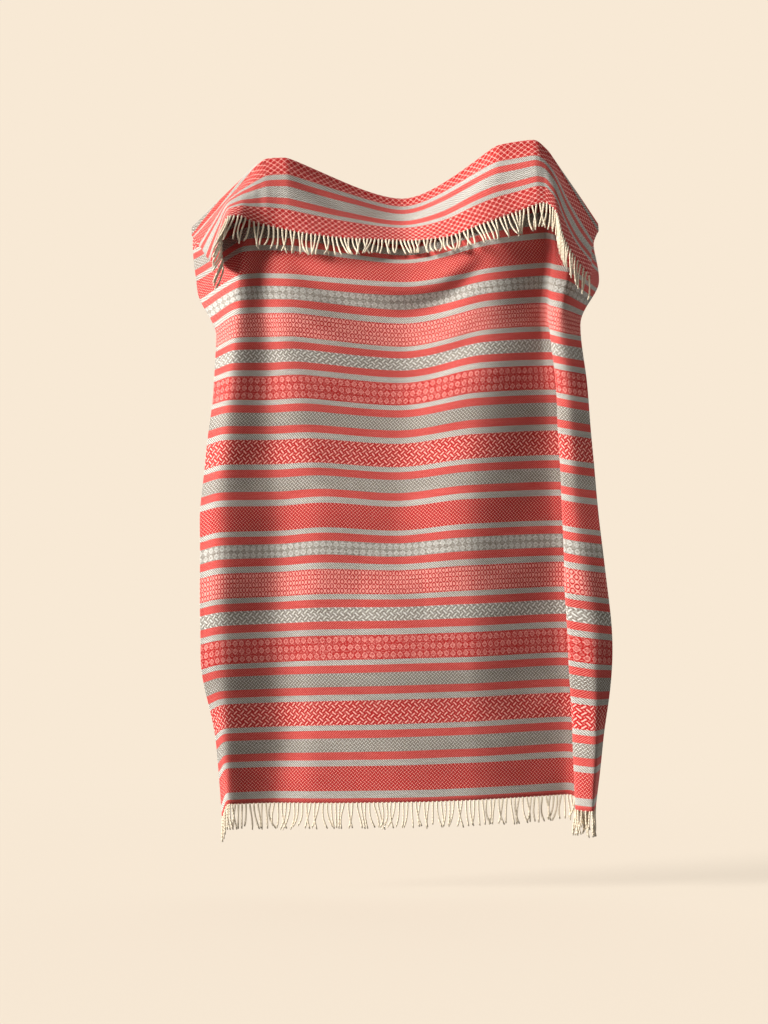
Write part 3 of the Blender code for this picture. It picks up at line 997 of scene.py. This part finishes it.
    def paths(self) -> np.ndarray:
        """Four control points for each strand, uneven as real strands are."""
        roots, outward, face, beside, loose = self.stations()
        count = len(roots)
        falls = self.falls(count)
        if self.hem is Hem.TOP:
            at_left = loose * (roots[:, 0] < self.tuft_ends)
            spread = outward * loose[:, None] * 0.35 + at_left[:, None] * np.array(self.tuft_lean)
            falls += spread * self.length
            falls *= self.length / np.linalg.norm(falls, axis=1, keepdims=True)
        chance = np.random.default_rng(11 if self.hem is Hem.BOTTOM else 12)
        number = np.arange(count)
        group = number + 1.6 * np.sin(0.71 * number)
        lean = 0.013 * np.sin(1.45 * group + 2.0 * np.sin(0.23 * number)) + chance.normal(0.0, 0.005, count)
        bow = chance.normal(0.0, 0.007, count)
        lift = chance.uniform(0.0, 0.004, count)
        length = 1.0 + chance.normal(0.0, 0.04, count)
        inside = roots - outward * 0.002
        start = inside + outward * self.length * 0.25
        end = roots + falls * length[:, None] + beside * lean[:, None] + face * 0.001
        bowed = roots + falls * 0.6 + beside * (0.2 * lean + bow)[:, None] + face * lift[:, None]
        return np.stack([inside, start, bowed, end], axis=1)


@dataclass(frozen=True)
class Lamp:
    """A distant soft light: its energy, how wide it is in degrees, and the way its light travels."""
    name: str
    energy: float
    softness: float
    travel: tuple[float, float, float]


@dataclass
class Studio:
    """Camera, lights and the plain paper sweep."""
    floor_height: float = -1.85
    camera_place: tuple[float, float, float] = (-0.0487, -7.29, -0.8467)
    lens: float = 94.75
    sensor: float = 36.0
    fill: float = 0.22
    fill_tone: tuple[float, float, float] = (1.0, 0.985, 0.96)
    lamps: tuple[Lamp, ...] = (
        Lamp("window", 6.7, 18.0, (0.85, 0.37, -0.30)),
        Lamp("far_wall", 1.8, 120.0, (-0.35, -0.85, -0.40)),
    )
    sweep_width: float = 40.0
    bend_starts: float = 7.2
    bend_radius: float = 3.0
    bend_steps: int = 20
    wall_height: float = 9.0

    def build(self) -> None:
        """Set up the whole studio."""
        bpy.context.scene.view_settings.view_transform = "Standard"
        self.place_camera()
        self.place_lights()
        self.lay_sweep()

    def place_camera(self) -> None:
        """Stand the camera square to the cloth, as far off as in the photograph."""
        data = bpy.data.cameras.new("camera")
        data.sensor_fit = "VERTICAL"
        data.sensor_height = self.sensor
        data.lens = self.lens
        data.clip_end = 60.0
        camera = bpy.data.objects.new("camera", data)
        camera.location = self.camera_place
        camera.rotation_euler = (math.radians(90.0), 0.0, 0.0)
        bpy.context.scene.collection.objects.link(camera)
        bpy.context.scene.camera = camera

    def place_lights(self) -> None:
        """A soft light from the left, one for the back of the cloth, and even light from all round.

        Past the edges of the sweep the camera sees the paper's own tone.
        """
        world = bpy.data.worlds.new("studio")
        world.use_nodes = True
        bpy.context.scene.world = world
        nodes, links = world.node_tree.nodes, world.node_tree.links
        background = nodes["Background"]
        background.inputs["Color"].default_value = (*self.fill_tone, 1.0)
        background.inputs["Strength"].default_value = self.fill
        seen = nodes.new("ShaderNodeBackground")
        seen.inputs["Color"].default_value = (*PaperBackdrop().tone, 1.0)
        rays = nodes.new("ShaderNodeLightPath")
        choice = nodes.new("ShaderNodeMixShader")
        links.new(rays.outputs["Is Camera Ray"], choice.inputs[0])
        links.new(background.outputs[0], choice.inputs[1])
        links.new(seen.outputs[0], choice.inputs[2])
        links.new(choice.outputs[0], nodes["World Output"].inputs["Surface"])
        for lamp in self.lamps:
            data = bpy.data.lights.new(lamp.name, "SUN")
            data.energy = lamp.energy
            data.angle = math.radians(lamp.softness)
            light = bpy.data.objects.new(lamp.name, data)
            light.rotation_euler = Vector(lamp.travel).to_track_quat("-Z", "Y").to_euler()
            bpy.context.scene.collection.objects.link(light)

    def lay_sweep(self) -> bpy.types.Object:
        """The floor and the wall behind, as one sheet of paper with a wide bend."""
        bpy.ops.object.select_all(action="DESELECT")
        bpy.ops.mesh.primitive_grid_add(x_subdivisions=1, y_subdivisions=1, size=self.sweep_width,
                                        location=(0.0, self.bend_starts - self.sweep_width / 2.0,
                                                  self.floor_height))
        sweep = named(bpy.context.object, "studio_sweep")
        bpy.ops.object.transform_apply(location=True)
        points = sweep.data.vertices
        bpy.ops.object.mode_set(mode="EDIT")
        bpy.ops.mesh.select_mode(type="EDGE")
        bpy.ops.mesh.select_all(action="DESELECT")
        bpy.ops.object.mode_set(mode="OBJECT")
        for edge in sweep.data.edges:
            edge.select = all(points[index].co.y > self.bend_starts - 0.01 for index in edge.vertices)
        bpy.ops.object.mode_set(mode="EDIT")
        turns = np.linspace(0.0, math.pi / 2.0, self.bend_steps + 1)
        for turn, following in zip(turns, turns[1:]):
            forward = self.bend_radius * (math.sin(following) - math.sin(turn))
            upward = self.bend_radius * (math.cos(turn) - math.cos(following))
            bpy.ops.mesh.extrude_region_move(TRANSFORM_OT_translate={"value": (0.0, forward, upward)})
        bpy.ops.mesh.extrude_region_move(TRANSFORM_OT_translate={"value": (0.0, 0.0, self.wall_height)})
        bpy.ops.object.mode_set(mode="OBJECT")
        bpy.ops.object.shade_smooth()
        sweep.data.materials.append(PaperBackdrop().material())
        sweep.visible_diffuse = False
        sweep.visible_shadow = False
        return sweep


def main() -> None:
    """Build the studio, the cloth and the fringes, attach each to the root body and hide the solid it
    replaces.
    """
    logging.basicConfig(level=logging.INFO, format="%(name)s: %(message)s")
    Studio().build()
    LOG.info("studio ready")
    drape = Drape()
    cloth = WovenSheet(drape).build()
    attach(cloth, "root")
    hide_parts("blanket")
    LOG.info("cloth: %d faces", len(cloth.data.polygons))
    yarn = TwistedYarn().material()
    for hem in Hem:
        fringe = Fringe(drape, hem).build(yarn)
        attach(fringe, "root")
        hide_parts(f"{hem.value}_fringe")
        LOG.info("%s: %d faces", fringe.name, len(fringe.data.polygons))


if __name__ == "__main__":
    main()
